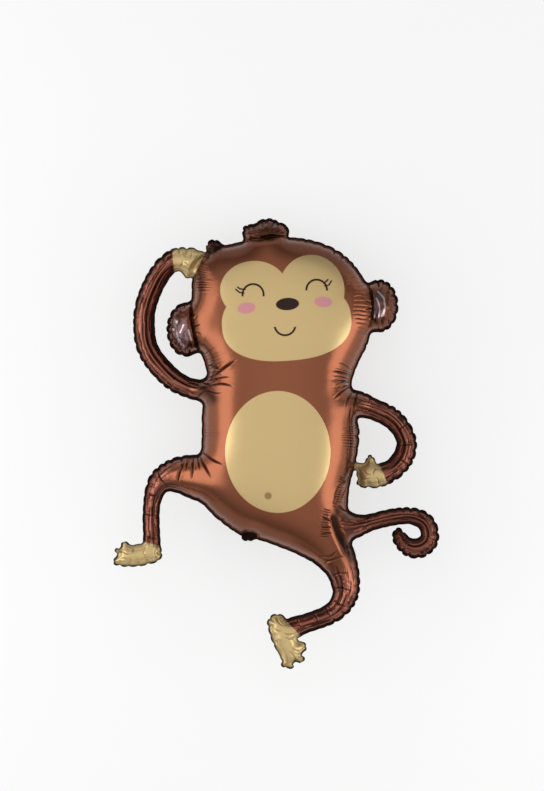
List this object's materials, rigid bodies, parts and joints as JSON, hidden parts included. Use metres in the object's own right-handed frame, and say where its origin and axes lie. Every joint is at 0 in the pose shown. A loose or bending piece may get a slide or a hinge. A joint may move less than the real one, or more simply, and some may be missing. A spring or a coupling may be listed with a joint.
{
  "type": "monkey foil balloon",
  "caption": "Foil balloon shaped like a dancing monkey, blown up and lying on its back: broad head and trunk, thin arms and legs, curled tail, flat welded edge all round",
  "frame": {"origin": "centre of the bounding box in plan, at the level that the back rests on", "axes": "+Z out of the face, up from the back it lies on; +Y towards the head; +X towards the hand on the hip. The weld lies in a plane of constant Z"},
  "size_m": [0.5678, 0.78, 0.1982],
  "materials": {
    "copper_brown_foil": "satin, metallised copper-brown film with tan face, belly, hands and feet"
  },
  "bodies": {
    "root": {"foil_envelope": "copper_brown_foil"}
  },
  "joints": []
}
